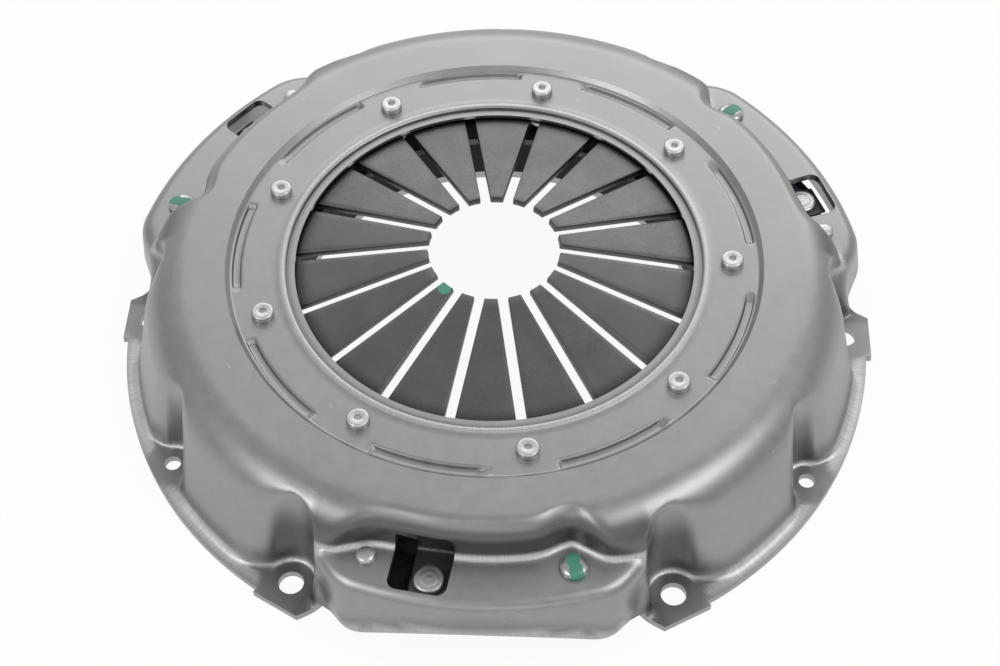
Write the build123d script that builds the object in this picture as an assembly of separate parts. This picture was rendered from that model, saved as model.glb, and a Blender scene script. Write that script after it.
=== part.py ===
from build123d import *
import os
from math import cos, hypot, radians, sin, tan

# Push-type clutch pressure plate for a 240 mm disc, in its free state, before it is bolted down.
# The clutch axis is Z. The underside of the cover's mounting flange lies in the plane z = 0.
# The front pocket of the cover points along -Y.

# Bolting circle, from which all radii of the unit follow
bolt_circle_r = 134.0
bolt_hole_r = 4.5
bolt_count = 6
dowel_hole_r = 3.0
dowel_count = 3

# Mounting flange and the ears at the bolt holes
flange_r = bolt_circle_r + 8.2
foot_fillet_r = 3.6
ear_corner_r = bolt_circle_r + 10.2
ear_half_deg = 3.7
ear_heel_r = bolt_circle_r - 0.5
ear_heel_deg = 6.9

# Cover pressing
sheet = 2.9
cover_top_z = 47.2
wall_foot_r = bolt_circle_r + 4.0
wall_draft_deg = 14.0
shoulder_r = 17.0

# Clearances pressed into the wall over the bolt and dowel holes, and the wall's rounded corners beside them
bolt_scallop_r = 9.7
bolt_corner_r = 14.0
dowel_scallop_r = 7.8
dowel_corner_r = 10.0
foot_margin = 0.2

# Three pockets, each with a shelf for the strap rivets behind its own outer wall
pocket_count = 3
pocket_axis_deg = -90.0
pocket_span_deg = 2 * (180 / bolt_count - ear_heel_deg)
shelf_z = 31.5
crease_r = bolt_circle_r * 0.903
pocket_edge_r = crease_r * 0.0744
pocket_edge_rise = 0.7
lobe_r = flange_r - 2.5
lobe_draft_deg = 14.0
lobe_root_r = bolt_circle_r - 6.0
lobe_root_deg = 30.0
lobe_slope_deg = 36.0
lobe_corner_r = lobe_r * 0.171
lobe_edge_r = 5.0
arch_half_width = lobe_root_r / 2 - 11.0
arch_mid_z = 18.0
arch_end_z = 5.0

# Foot of the wall behind a shelf: radius as a share of crease_r, and angle from the pocket's middle
crease = [(1.3636, -28.8), (1.1785, -27.6), (1.1025, -25.6), (1.0694, -22.8), (1.0347, -20.2),
          (1.0066, -17.4), (0.9967, -13.0), (0.9983, -7.0), (1.0, 0.0), (1.0, 6.0), (0.995, 10.0),
          (0.9785, 13.2), (0.9777, 15.4), (1.0083, 17.4), (1.0496, 19.8), (1.0711, 22.8),
          (1.1025, 25.6), (1.1785, 27.6), (1.3636, 28.8)]

# Diaphragm's pivot: two wire rings and nine rivets
ring_r = bolt_circle_r - 42.2
ring_wire_r = 1.5
rivet_r = ring_r - 4.1
rivet_count = 9
rivet_head_r = 4.1
rivet_head_height = 2.6
rivet_head_chamfer = 0.6
rivet_dimple_r = 1.5
rivet_dimple_depth = 0.9
rivet_shank_r = 2.5
rivet_tail_r = 6.0
rivet_tail_height = 2.4

# Flat seat of the pivot rivets, pressed below the top of the cover
seat_z = 45.4
seat_outer_r = ring_r + 5.6
rim_crest_r = rivet_r - 8.7
rim_crest_rise = 0.5
rim_step_r = rim_crest_r - 2.0
rim_lip_drop = 0.8
rim_lip_thickness = 1.3
opening_r = rim_step_r - 3.2

# Arc beads that hold the upper pivot ring in place
bead_r = ring_r + 3.4
bead_width = 3.6
bead_depth = 1.3
bead_span_deg = 25.2
bead_shift_deg = -1.7

# Diaphragm spring
finger_count = 18
finger_tip_r = 24.3
diaphragm_r = ring_r + 18.7
diaphragm_thickness = 2.8
cone_deg = 10.0
slit_width = 3.8
slit_window_width = 7.4
slit_window_inner_r = ring_r - 9.3
slit_window_outer_r = ring_r - 1.2
slit_window_corner_r = 2.5

# Pressure plate casting
friction_z = 5.2
plate_bore_r = opening_r + 3.5
plate_outer_r = diaphragm_r + 9.8
plate_rim_z = 26.5
plate_edge_z = 17.5
plate_chamfer = 1.4
plate_groove_z = 23.5
ridge_r = diaphragm_r - 3.0
ridge_nose_r = 2.5
ridge_root_half = 5.5
plate_rim_outer_r = ridge_r - 10.5

# Lugs of the plate and the drive straps
lug_deg = -7.6
strap_deg = 14.5
strap_r = lobe_r - 12.0
lug_top_z = 20.8
lug_bottom_z = 9.0
lug_outer_r = strap_r + 6.8
lug_width = 24.0
lug_shift = -2.5
strap_width = 16.0
leaf_thickness = 0.8
leaf_count = 3
leaf_flat = 9.5

# Window over each lug rivet
window_deg = -9.2
window_width = 20.5
window_depth = 24.6
window_outer_r = lobe_r - 3.1
window_top_z = 40.5
window_corner_r = 3.5

# Rivets of the straps, retraction clips and small rivets of the shelf
shelf_head_bevel = 0.9
shelf_tail_bevel = 1.0
strap_rivet_shank_r = 3.25
strap_rivet_head_r = 5.2
strap_rivet_head_height = 2.7
strap_rivet_tail_r = 5.0
strap_rivet_tail_height = 2.5
lug_rivet_head_r = 5.65
clip_thickness = 1.0
clip_width = 13.0
clip_leg_r = diaphragm_r + 4.3
clip_tip_r = diaphragm_r - 4.9
small_rivet_deg = -17.4
small_rivet_head_r = 3.5
small_rivet_head_height = 2.3
small_rivet_shank_r = 2.2
small_rivet_tail_r = 3.4
small_rivet_tail_height = 2.0

# Clearances
seat_gap = 0.02
hole_gap = 0.08
ridge_gap = 0.05
clip_gap = 0.1

# Room taken by cutters past the faces that they cut
over = 5.0
far_r = bolt_circle_r * 1.23

# Heights that follow from the sizes above
cone = radians(cone_deg)
seat_under_z = seat_z - sheet
shelf_under_z = shelf_z - sheet
upper_ring_z = seat_under_z - seat_gap - ring_wire_r
ring_reach = (ring_wire_r + seat_gap) / cos(cone)
cone_top_z = upper_ring_z - ring_reach
cone_under_z = cone_top_z - diaphragm_thickness / cos(cone)
lower_ring_z = cone_under_z - ring_reach
tail_top_z = lower_ring_z - ring_wire_r - seat_gap
strap_pack = leaf_count * (leaf_thickness + seat_gap)
strap_drop = shelf_under_z - seat_gap - (lug_top_z + strap_pack)
draft = radians(wall_draft_deg)


def polar(radius, angle_deg):
    """Point (x, y) at a radius and an angle about the clutch axis."""
    return radius * cos(radians(angle_deg)), radius * sin(radians(angle_deg))


def pocket_angle(index):
    """Direction of a pocket's middle."""
    return pocket_axis_deg + index * 360 / pocket_count


def dowel_angle(index):
    """Direction of a dowel hole, halfway between two pockets."""
    return pocket_angle(index + 0.5)


def turned(shape, angle_deg):
    """The shape turned about the clutch axis."""
    return shape.rotate(Axis.Z, angle_deg)


def ring_solid(points):
    """Solid of revolution whose section has the given corners (radius, z)."""
    outline = Polyline(*[(radius, 0, z) for radius, z in points], close=True)
    return revolve(make_face(outline), Axis.Z)


def sector(reach, middle_deg, span_deg):
    """Triangle seen from above that covers a sector out to the reach."""
    corner_r = reach / cos(radians(span_deg / 2))
    ends = [polar(corner_r, middle_deg + side * span_deg / 2) for side in (-1, 1)]
    return make_face(Polyline((0, 0), *ends, close=True))


def disk(radius, bottom, top, at=(0, 0)):
    """Upright cylinder between two heights."""
    return Pos(at[0], at[1], bottom) * extrude(Circle(radius), top - bottom)


def cone_height(radius, z_at_ring):
    """Height of the diaphragm's cone at a radius, from its height at the pivot rings."""
    return z_at_ring - (radius - ring_r) * tan(cone)


def bell(inset):
    """The pressing without its pockets, with every face moved inwards by the inset."""
    top = cover_top_z - inset
    foot = sheet - inset
    top_r = wall_foot_r - inset / cos(draft) - (top - sheet) * tan(draft)
    foot_r = wall_foot_r - inset / cos(draft) - (foot - sheet) * tan(draft)
    corners = [(0, -over), (0, top), (top_r, top), (foot_r, foot), (far_r, foot), (far_r, -over)]
    section = make_face(Polyline(*[(r, 0, z) for r, z in corners], close=True))
    shoulder = section.vertices().sort_by_distance((top_r, 0, top))[0]
    section = fillet(shoulder, shoulder_r - inset)
    root = section.vertices().sort_by_distance((foot_r, 0, foot))[0]
    section = fillet(root, foot_fillet_r + inset)
    return revolve(section, Axis.Z)


def crease_points(inset):
    """Points along the foot of the wall behind a shelf, moved towards the shelf's far side."""
    points = [polar(crease_r * share, angle) for share, angle in crease]
    moved = []
    for (x, y), before, after in zip(points, points[:1] + points, points[1:] + points[-1:]):
        run = hypot(after[0] - before[0], after[1] - before[1])
        moved.append((x - (after[1] - before[1]) / run * inset, y + (after[0] - before[0]) / run * inset))
    return moved


def pocket_notch(inset):
    """Outline of the space over a shelf, seen from above, with the pocket along +X."""
    points = crease_points(inset)
    left, right = points[0], points[-1]
    back = Polyline(right, (far_r + over, right[1]), (far_r + over, left[1]), left)
    return make_face([Spline(*points), back])


def upper_form(inset):
    """The part of the form over the shelves: it keeps the pressing clear of the three notches."""
    top = cover_top_z + pocket_edge_rise - inset
    bottom = shelf_z - inset
    outline = Sketch() + Circle(far_r)
    for index in range(pocket_count):
        outline -= turned(pocket_notch(inset), pocket_angle(index))
    prism = Pos(0, 0, bottom) * extrude(outline, top - bottom)
    rim = prism.edges().filter_by(lambda e: abs(e.center().Z - top) < 0.01)
    rim = rim.filter_by(lambda e: hypot(e.center().X, e.center().Y) < far_r - over / 2)
    prism = fillet(rim, pocket_edge_r - inset)
    return prism + disk(far_r, -over * 2, bottom)


def lobe(inset):
    """One shelf with its outer wall, which leans outwards at the front, as a solid."""
    slope = radians(lobe_slope_deg)
    root_x, root_y = polar(lobe_root_r, lobe_root_deg)
    tip_y = root_y - (far_r - root_x) * tan(slope)
    half = [(opening_r, opening_r / 2), (root_x, root_y), (far_r, tip_y)]
    corners = half + [(x, -y) for x, y in reversed(half)]
    outline = make_face(Polyline(*corners, close=True))
    if inset:
        outline = offset(outline, -inset, kind=Kind.INTERSECTION)
    top = shelf_z - inset
    lean = tan(radians(lobe_draft_deg))
    front_r = lobe_r - inset / cos(radians(lobe_draft_deg))
    front = ring_solid([(0, -over), (front_r + (shelf_z + over) * lean, -over),
                        (front_r + (shelf_z - top) * lean, top), (0, top)])
    body = (Pos(0, 0, -over) * extrude(outline, top + over)) & front
    upright = body.edges().filter_by(lambda e: abs(e.center().Z - (top - over) / 2) < over)
    tips = upright.filter_by(lambda e: e.center().X > root_x and abs(e.center().Y) < root_y - over)
    body = fillet(tips, lobe_corner_r - inset)
    rim = body.edges().filter_by(lambda e: abs(e.center().Z - top) < 0.01 and e.center().X > root_x)
    return fillet(rim, lobe_edge_r - inset)


def clearances(inset):
    """Space over the bolt and dowel holes, which opens outwards past the wall's rounded corners."""
    run = foot_fillet_r * tan(radians(45 - wall_draft_deg / 2))
    edge_r = wall_foot_r + run + foot_margin
    outline = Sketch() + Circle(far_r) - Circle(edge_r)
    for index in range(bolt_count):
        outline += Pos(*polar(bolt_circle_r, index * 360 / bolt_count)) * Circle(bolt_scallop_r + inset)
    for index in range(dowel_count):
        outline += Pos(*polar(bolt_circle_r, dowel_angle(index))) * Circle(dowel_scallop_r + inset)
    for index in range(bolt_count):
        angle = index * 360 / bolt_count
        side = 1 if index % 2 else -1
        corner = outline.vertices().sort_by_distance((*polar(edge_r, angle + side * ear_half_deg), 0))[0]
        outline = fillet(corner, bolt_corner_r - inset)
    for index in range(dowel_count):
        for side in (-1, 1):
            near = polar(edge_r, dowel_angle(index) + side * ear_half_deg / 2)
            outline = fillet(outline.vertices().sort_by_distance((*near, 0))[0], dowel_corner_r - inset)
    for index in range(pocket_count):
        outline -= sector(far_r, pocket_angle(index), pocket_span_deg)
    foot_z = sheet - inset
    return Pos(0, 0, foot_z) * extrude(outline, cover_top_z + over - foot_z)


def seat_recess(inset):
    """Space over the rivets' seat."""
    shift = inset * tan(radians(22.5))
    low = seat_z - inset
    high = cover_top_z - inset
    inner = seat_outer_r - shift
    outer = inner + (high - low)
    return ring_solid([(0, low), (inner, low), (outer, high), (outer, high + over * 2), (0, high + over * 2)])


def form(inset):
    """The whole pressing as a filled body, with every face moved inwards by the inset."""
    body = bell(inset) & upper_form(inset)
    for index in range(pocket_count):
        body += turned(lobe(inset), pocket_angle(index))
    return body - clearances(inset) - seat_recess(inset)


def flange():
    """Flat mounting flange with the ears of the bolt holes, as seen from above."""
    outline = Sketch() + Circle(flange_r)
    for index in range(bolt_count):
        angle = index * 360 / bolt_count
        side = 1 if index % 2 else -1
        away = angle + side * ear_half_deg
        toward = angle - side * ear_half_deg
        heel = angle - side * ear_heel_deg
        corners = [polar(opening_r, away), polar(ear_corner_r, away), polar(ear_corner_r, toward),
                   polar(ear_heel_r, heel), polar(opening_r, heel)]
        outline += make_face(Polyline(*corners, close=True))
    return outline


def arch_cutter():
    """Space under a lobe, where its wall is trimmed in an arch between the sides of two ears."""
    foot = -over
    edge = [Line((0, -arch_half_width, foot), (0, -arch_half_width, arch_end_z)),
            ThreePointArc((0, -arch_half_width, arch_end_z), (0, 0, arch_mid_z),
                          (0, arch_half_width, arch_end_z)),
            Line((0, arch_half_width, arch_end_z), (0, arch_half_width, foot)),
            Line((0, arch_half_width, foot), (0, -arch_half_width, foot))]
    cutter = Pos(ring_r, 0, 0) * extrude(make_face(edge), far_r - ring_r, dir=(1, 0, 0))
    ear_gap = 180 / bolt_count
    for side in (-1, 1):
        heel = polar(ear_heel_r, side * (ear_gap - ear_heel_deg))
        tip = polar(ear_corner_r, side * (ear_gap - ear_half_deg))
        past = (2 * tip[0] - heel[0], 2 * tip[1] - heel[1])
        gap = make_face(Polyline(heel, past, (past[0], 0), (heel[0], 0), close=True))
        cutter += Pos(0, 0, foot) * extrude(gap, arch_end_z - foot)
    return cutter


def window_cutter():
    """Window through the shelf and the foot of the wall behind it, over a lug rivet."""
    low = shelf_under_z - over
    block = Box(window_depth, window_width, window_top_z - low, align=(Align.MAX, Align.CENTER, Align.MIN))
    upright = fillet(block.edges().filter_by(Axis.Z), window_corner_r)
    top = block.edges().filter_by(Axis.X).group_by(Axis.Z)[-1]
    return turned(Pos(window_outer_r, 0, low) * (upright & fillet(top, window_corner_r)), window_deg)


def arc_bead(bottom, top):
    """Curved bar of one arc bead between two heights, with its middle along +X."""
    half_width = bead_width / 2
    band = disk(bead_r + half_width, bottom, top) - disk(bead_r - half_width, bottom, top)
    wedge = extrude(sector(bead_r + bead_width, 0, bead_span_deg), top - bottom)
    return band & Pos(0, 0, bottom) * wedge


def cover():
    """Cover pressing."""
    ceiling = cover_top_z + over
    plan = flange()
    for index in range(pocket_count):
        plan += sector(far_r, pocket_angle(index), pocket_span_deg) & Circle(ear_corner_r)
    shell = (form(0) & extrude(plan, ceiling)) - form(sheet)
    shell -= disk(opening_r, 0, ceiling)
    shell -= disk(rim_step_r, seat_z - rim_lip_drop, ceiling)
    shell -= disk(rim_step_r, 0, seat_z - rim_lip_drop - rim_lip_thickness)
    crest_z = seat_z + rim_crest_rise
    shell += ring_solid([(rim_step_r, seat_under_z), (rim_crest_r, seat_under_z),
                         (rim_crest_r + rim_crest_rise, seat_z), (rim_crest_r, crest_z),
                         (rim_step_r, crest_z)])
    for index in range(rivet_count):
        middle = (index + 0.5) * 360 / rivet_count + bead_shift_deg
        shell += turned(arc_bead(seat_under_z - bead_depth, seat_under_z + bead_depth), middle)
        shell -= turned(arc_bead(seat_z - bead_depth, ceiling), middle)
        shell -= disk(rivet_shank_r + hole_gap, 0, ceiling, polar(rivet_r, index * 360 / rivet_count))
    for index in range(pocket_count):
        angle = pocket_angle(index)
        shell -= turned(arch_cutter(), angle)
        shell -= turned(window_cutter(), angle)
        shell -= disk(strap_rivet_shank_r + hole_gap, 0, ceiling, polar(strap_r, angle + strap_deg))
        shell -= disk(small_rivet_shank_r + hole_gap, 0, ceiling, polar(strap_r, angle + small_rivet_deg))
    for index in range(dowel_count):
        shell -= disk(dowel_hole_r, 0, sheet, polar(bolt_circle_r, dowel_angle(index)))
    for index in range(bolt_count):
        shell -= disk(bolt_hole_r, 0, sheet, polar(bolt_circle_r, index * 360 / bolt_count))
    return shell


def cone_band(inner, outer, z_at_ring, height):
    """Conical washer whose top passes through the given height at the pivot rings."""
    top = [(inner, cone_height(inner, z_at_ring)), (outer, cone_height(outer, z_at_ring))]
    return ring_solid(top + [(r, z - height) for r, z in reversed(top)])


def diaphragm_spring():
    """Coned spring disc cut into fingers, with a window at the root of every slit."""
    spring = cone_band(finger_tip_r, diaphragm_r, cone_top_z, cone_top_z - cone_under_z)
    low = cone_height(diaphragm_r, cone_under_z) - over
    high = cone_height(finger_tip_r, cone_top_z) + over
    window_mid = (slit_window_inner_r + slit_window_outer_r) / 2
    slit = Pos(window_mid / 2, 0) * Rectangle(window_mid, slit_width)
    window = Pos(window_mid, 0) * RectangleRounded(slit_window_outer_r - slit_window_inner_r,
                                                   slit_window_width, slit_window_corner_r)
    cutter = Pos(0, 0, low) * extrude(slit + window, high - low)
    for index in range(finger_count):
        spring -= turned(cutter, index * 360 / finger_count)
    return spring


def pivot_ring(z):
    """Round wire ring that the diaphragm rocks on."""
    return Pos(0, 0, z) * Torus(ring_r, ring_wire_r)


def pivot_rivet(index):
    """Headed rivet that ties the diaphragm and both rings to the cover."""
    head_top = seat_z + seat_gap + rivet_head_height
    tail_low = tail_top_z - rivet_tail_height
    rivet = ring_solid([(0, tail_low), (rivet_tail_r - rivet_head_chamfer, tail_low),
                        (rivet_tail_r, tail_low + rivet_head_chamfer), (rivet_tail_r, tail_top_z),
                        (rivet_shank_r, tail_top_z), (rivet_shank_r, seat_z + seat_gap),
                        (rivet_head_r, seat_z + seat_gap), (rivet_head_r, head_top - rivet_head_chamfer),
                        (rivet_head_r - rivet_head_chamfer, head_top), (rivet_dimple_r, head_top),
                        (0, head_top - rivet_dimple_depth)])
    x, y = polar(rivet_r, index * 360 / rivet_count)
    return Pos(x, y, 0) * rivet


def shelf_rivet(angle_deg, seat, under, shank_r, head, tail):
    """Domed rivet through a flat stack, on the circle of the straps; head and tail are (radius, height)."""
    head_r, head_height = head
    tail_r, tail_height = tail
    head_top = seat + head_height
    tail_low = under - tail_height
    rivet = ring_solid([(0, tail_low), (tail_r - shelf_tail_bevel, tail_low),
                        (tail_r, tail_low + shelf_tail_bevel), (tail_r, under), (shank_r, under),
                        (shank_r, seat), (head_r, seat), (head_r, head_top - 2 * shelf_head_bevel),
                        (head_r - shelf_head_bevel, head_top - shelf_head_bevel / 2),
                        (head_r - 3 * shelf_head_bevel, head_top), (0, head_top)])
    x, y = polar(strap_r, angle_deg)
    return Pos(x, y, 0) * rivet


def strap_rivet(pocket):
    """Rivet that holds a strap pack under its shelf."""
    return shelf_rivet(pocket_angle(pocket) + strap_deg, shelf_z + seat_gap,
                       shelf_under_z - seat_gap - strap_pack, strap_rivet_shank_r,
                       (strap_rivet_head_r, strap_rivet_head_height),
                       (strap_rivet_tail_r, strap_rivet_tail_height))


def lug_rivet(pocket):
    """Rivet that holds a retraction clip and a strap pack on a lug of the plate."""
    return shelf_rivet(pocket_angle(pocket) + lug_deg,
                       lug_top_z + strap_pack + clip_thickness + 2 * seat_gap,
                       lug_bottom_z - seat_gap, strap_rivet_shank_r,
                       (lug_rivet_head_r, strap_rivet_head_height),
                       (strap_rivet_tail_r, strap_rivet_tail_height))


def small_rivet(pocket):
    """Small rivet beside a window."""
    return shelf_rivet(pocket_angle(pocket) + small_rivet_deg, shelf_z + seat_gap,
                       shelf_under_z - seat_gap, small_rivet_shank_r,
                       (small_rivet_head_r, small_rivet_head_height),
                       (small_rivet_tail_r, small_rivet_tail_height))


def strap_leaf(pocket, layer):
    """One leaf of a strap pack, from its rivet under the shelf down to the lug."""
    span = 2 * strap_r * sin(radians((strap_deg - lug_deg) / 2))
    top = shelf_under_z - seat_gap - layer * (leaf_thickness + seat_gap)
    bend = span / 2 - leaf_flat
    end = span / 2 + strap_width / 2
    line = [(end, top), (bend, top), (-bend, top - strap_drop), (-end, top - strap_drop)]
    section = line + [(x, z - leaf_thickness) for x, z in reversed(line)]
    face = make_face(Polyline(*[(x, -strap_width / 2, z) for x, z in section], close=True))
    leaf = extrude(face, strap_width, dir=(0, 1, 0))
    plan = SlotCenterToCenter(span, strap_width)
    holes = Pos(span / 2, 0) * Circle(strap_rivet_shank_r + hole_gap)
    holes += Pos(-span / 2, 0) * Circle(strap_rivet_shank_r + hole_gap)
    leaf &= extrude(plan - holes, shelf_z)
    middle = pocket_angle(pocket) + (strap_deg + lug_deg) / 2
    distance = strap_r * cos(radians((strap_deg - lug_deg) / 2))
    x, y = polar(distance, middle)
    return Pos(x, y, 0) * Rot(0, 0, middle + 90) * leaf


def retraction_clip(pocket):
    """Sprung clip that pulls the diaphragm's edge down on the plate's ridge."""
    foot = lug_top_z + strap_pack + seat_gap
    hook = cone_height(diaphragm_r, cone_top_z) + clip_gap
    tip = cone_height(clip_tip_r, cone_top_z) + clip_gap
    inner = clip_leg_r - clip_thickness
    line = [(strap_r + strap_width / 2, foot), (inner, foot), (inner, hook), (clip_tip_r, tip)]
    back = [(clip_tip_r, tip + clip_thickness), (clip_leg_r, hook + clip_thickness),
            (clip_leg_r, foot + clip_thickness), (strap_r + strap_width / 2, foot + clip_thickness)]
    face = make_face(Polyline(*[(x, -clip_width / 2, z) for x, z in line + back], close=True))
    clip = extrude(face, clip_width, dir=(0, 1, 0))
    clip -= disk(strap_rivet_shank_r + hole_gap, 0, shelf_z, (strap_r, 0))
    return turned(clip, pocket_angle(pocket) + lug_deg)


def pressure_plate():
    """Cast iron plate with its friction face, its fulcrum ridge and three lugs."""
    contact = cone_height(ridge_r, cone_under_z)
    nose_z = contact - (ridge_nose_r + ridge_gap) / cos(cone)
    low, rim = friction_z, plate_rim_z
    section = [(plate_bore_r, low), (plate_outer_r - plate_chamfer, low),
               (plate_outer_r, low + plate_chamfer), (plate_outer_r, plate_edge_z),
               (ridge_r + ridge_root_half, plate_groove_z), (ridge_r + ridge_nose_r, nose_z),
               (ridge_r, nose_z + ridge_nose_r), (ridge_r - ridge_nose_r, nose_z),
               (ridge_r - ridge_root_half, plate_groove_z), (plate_rim_outer_r, plate_groove_z),
               (plate_rim_outer_r - (rim - plate_groove_z), rim), (plate_bore_r + plate_chamfer, rim),
               (plate_bore_r, rim - plate_chamfer)]
    corners = [(r, 0, z) for r, z in section]
    edges = [Line(a, b) for a, b in zip(corners[:5], corners[1:6])]
    edges.append(ThreePointArc(corners[5], corners[6], corners[7]))
    edges += [Line(a, b) for a, b in zip(corners[7:], corners[8:] + corners[:1])]
    plate = revolve(make_face(edges), Axis.Z)
    reach = lug_outer_r - plate_outer_r + over * 2
    for pocket in range(pocket_count):
        block = Pos(lug_outer_r - reach / 2, lug_shift) * RectangleRounded(reach, lug_width, over)
        lug = Pos(0, 0, lug_bottom_z) * extrude(block, lug_top_z - lug_bottom_z)
        lug -= disk(strap_rivet_shank_r + hole_gap, 0, shelf_z, (strap_r, 0))
        plate += turned(lug, pocket_angle(pocket) + lug_deg)
    return plate


os.makedirs("parts", exist_ok=True)
pieces = {"cover": cover(), "diaphragm_spring": diaphragm_spring(),
          "upper_pivot_ring": pivot_ring(upper_ring_z), "lower_pivot_ring": pivot_ring(lower_ring_z),
          "pressure_plate": pressure_plate()}
for index in range(rivet_count):
    pieces[f"pivot_rivet_{index + 1}"] = pivot_rivet(index)
for pocket in range(pocket_count):
    pieces[f"strap_rivet_{pocket + 1}"] = strap_rivet(pocket)
    pieces[f"lug_rivet_{pocket + 1}"] = lug_rivet(pocket)
    pieces[f"small_rivet_{pocket + 1}"] = small_rivet(pocket)
    pieces[f"retraction_clip_{pocket + 1}"] = retraction_clip(pocket)
    for layer in range(leaf_count):
        pieces[f"strap_{pocket + 1}_leaf_{layer + 1}"] = strap_leaf(pocket, layer)
for name, solid in pieces.items():
    export_step(solid, f"parts/{name}.step")
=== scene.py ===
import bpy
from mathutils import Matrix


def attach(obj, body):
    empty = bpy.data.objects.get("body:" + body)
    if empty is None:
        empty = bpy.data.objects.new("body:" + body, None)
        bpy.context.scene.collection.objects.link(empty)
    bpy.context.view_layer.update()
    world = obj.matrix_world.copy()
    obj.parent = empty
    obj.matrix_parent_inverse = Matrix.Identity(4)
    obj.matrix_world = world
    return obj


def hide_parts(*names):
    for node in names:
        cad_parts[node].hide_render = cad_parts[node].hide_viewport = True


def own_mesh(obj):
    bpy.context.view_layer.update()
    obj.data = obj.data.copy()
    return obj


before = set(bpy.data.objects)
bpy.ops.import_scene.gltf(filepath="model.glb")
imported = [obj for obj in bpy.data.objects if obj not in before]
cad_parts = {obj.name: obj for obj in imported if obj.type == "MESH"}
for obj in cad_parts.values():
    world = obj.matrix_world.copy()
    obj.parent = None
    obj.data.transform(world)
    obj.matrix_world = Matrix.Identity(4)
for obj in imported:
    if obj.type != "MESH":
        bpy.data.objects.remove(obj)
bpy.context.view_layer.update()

import math

import bpy
import numpy as np
from mathutils import Matrix, Vector

# Camera
# The unit lies flat with its release fingers up, and was photographed from above its front pocket
# with a long lens. The camera was solved from the nine rivet heads and the bolt holes.
MM = 0.001
RIVET_R = 87.7
aim_height = 47.97 * MM
elevation, roll, turn = (math.radians(a) for a in (51.957, -1.119, 3.247))
# The eye's place in radii of the rivet ring: back along the view, across it and below it.
far, aside, below = 8.0504, 0.0247, 0.3388
back = Vector((0, -math.cos(elevation), math.sin(elevation)))
level = Vector((1, 0, 0))
rise = Vector((0, math.sin(elevation), math.cos(elevation)))
across = level * math.cos(roll) + rise * math.sin(roll)
upward = rise * math.cos(roll) - level * math.sin(roll)
eye = (back * far + across * aside - upward * below) * RIVET_R * MM
lens_data = bpy.data.cameras.new("camera")
lens_data.sensor_width = 36.0
lens_data.lens = 68.92
lens_data.clip_start, lens_data.clip_end = 0.01, 20.0
camera = bpy.data.objects.new("camera", lens_data)
stance = Matrix((across, upward, back)).transposed().to_4x4()
stance.translation = eye + Vector((0, 0, aim_height))
camera.matrix_world = Matrix.Rotation(turn, 4, "Z") @ stance
bpy.context.scene.collection.objects.link(camera)
bpy.context.scene.camera = camera
bpy.context.scene.view_settings.view_transform = "Standard"


# Studio
# A white sweep lies under the unit. A wide softbox behind it lights the flat steel, and weaker ones in
# front and at both sides light the shoulders. The pale room gets darker towards the ceiling.
def srgb(code):
    """Hex colour as linear RGBA."""
    parts = [int(code[k:k + 2], 16) / 255 for k in (1, 3, 5)]
    return tuple(c / 12.92 if c <= 0.04045 else ((c + 0.055) / 1.055) ** 2.4 for c in parts) + (1.0,)


def add(tree, kind, settings=None, inputs=None):
    """Adds a node with its settings, and its inputs as values or as sockets to link from."""
    made = tree.nodes.new(kind)
    for name, value in (settings or {}).items():
        setattr(made, name, value)
    for name, value in (inputs or {}).items():
        socket = made.inputs[name]
        if isinstance(value, bpy.types.NodeSocket):
            tree.links.new(value, socket)
        else:
            socket.default_value = value
    return made


def material(name):
    """Empty node material and its tree."""
    made = bpy.data.materials.new(name)
    made.use_nodes = True
    made.node_tree.nodes.clear()
    return made, made.node_tree


def mesh_object(name, points, faces, smooth=True):
    """Mesh object from points in millimetres and faces as lists of corners."""
    data = bpy.data.meshes.new(name)
    data.from_pydata([tuple(p) for p in np.asarray(points) * MM], [], [tuple(f) for f in faces])
    data.update()
    if smooth:
        data.shade_smooth()
    made = bpy.data.objects.new(name, data)
    bpy.context.scene.collection.objects.link(made)
    return made


# The paper shows almost pure white, and it throws soft light back up on the unit.
floor_half, floor_z, shown_white = 3000.0, -0.2, 0.93
corners = [(x * floor_half, y * floor_half, floor_z) for x, y in ((-1, -1), (1, -1), (1, 1), (-1, 1))]
floor = mesh_object("floor", corners, [(0, 1, 2, 3)])
sweep, tree = material("white paper sweep")
path = add(tree, "ShaderNodeLightPath")
seen = add(tree, "ShaderNodeMath", {"operation": "MAXIMUM"},
           {0: path.outputs["Is Camera Ray"], 1: path.outputs["Is Glossy Ray"]})
seen = add(tree, "ShaderNodeMath", {"operation": "MAXIMUM"},
           {0: seen.outputs[0], 1: path.outputs["Is Transmission Ray"]})
share = add(tree, "ShaderNodeMath", {"operation": "MULTIPLY"}, {0: seen.outputs[0], 1: shown_white})
paper = add(tree, "ShaderNodeBsdfDiffuse", None, {"Color": srgb("#e8e8e8")})
white = add(tree, "ShaderNodeEmission", None, {"Color": srgb("#ffffff"), "Strength": 1.0})
both = add(tree, "ShaderNodeMixShader", None,
           {0: share.outputs[0], 1: paper.outputs[0], 2: white.outputs[0]})
add(tree, "ShaderNodeOutputMaterial", None, {"Surface": both.outputs[0]})
floor.data.materials.append(sweep)

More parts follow.
